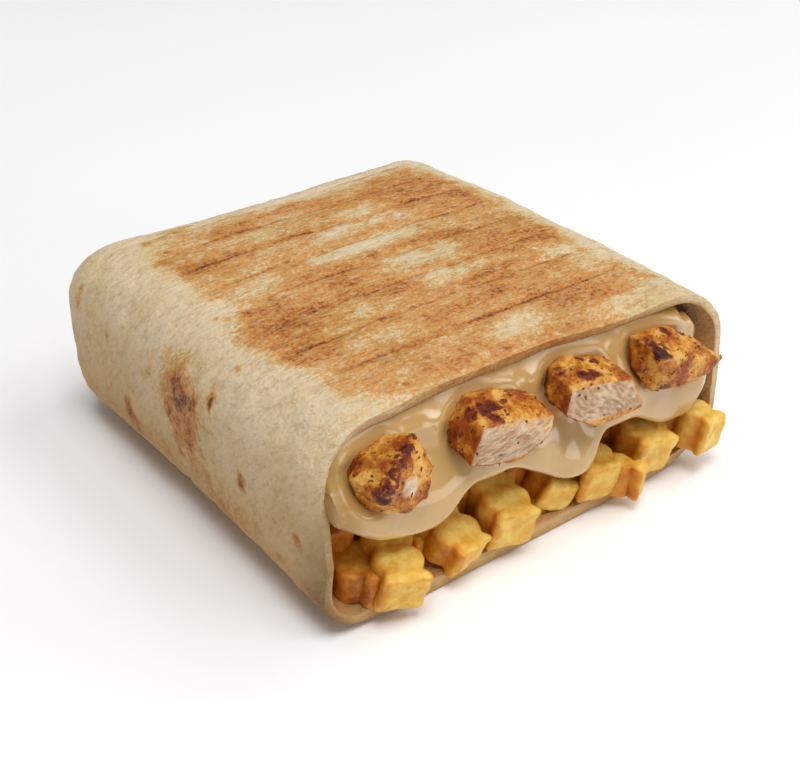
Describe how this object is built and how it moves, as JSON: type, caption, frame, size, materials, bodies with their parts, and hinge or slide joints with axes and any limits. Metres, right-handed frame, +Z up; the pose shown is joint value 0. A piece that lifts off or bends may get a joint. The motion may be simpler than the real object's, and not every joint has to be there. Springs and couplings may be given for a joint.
{
  "type": "french tacos",
  "caption": "Pressed and toasted tortilla pocket, open at one end, filled with crinkle fries, pale cheese sauce and grilled chicken lumps.",
  "frame": {"origin": "middle of the whole object's footprint, at the level of the underside that it rests on", "axes": "+Z up, -Y out of the open mouth, +Y to the closed fold, +X to the right for someone who looks into the mouth"},
  "size_m": [0.1462, 0.1542, 0.0601],
  "materials": {
    "toasted_tortilla": "toasted flour tortilla, dry and matt, browned in lines by the press",
    "fried_potato": "deep-fried potato, golden with a little oil",
    "cheese_sauce": "thick cheese sauce, smooth and glossy",
    "grilled_chicken": "seasoned grilled chicken, browned and charred on its edges, pale where cut"
  },
  "bodies": {
    "root": {"tortilla": "toasted_tortilla", "fries": "fried_potato", "sauce": "cheese_sauce", "chicken_1": "grilled_chicken", "chicken_2": "grilled_chicken", "chicken_3": "grilled_chicken", "chicken_4": "grilled_chicken"}
  },
  "joints": []
}
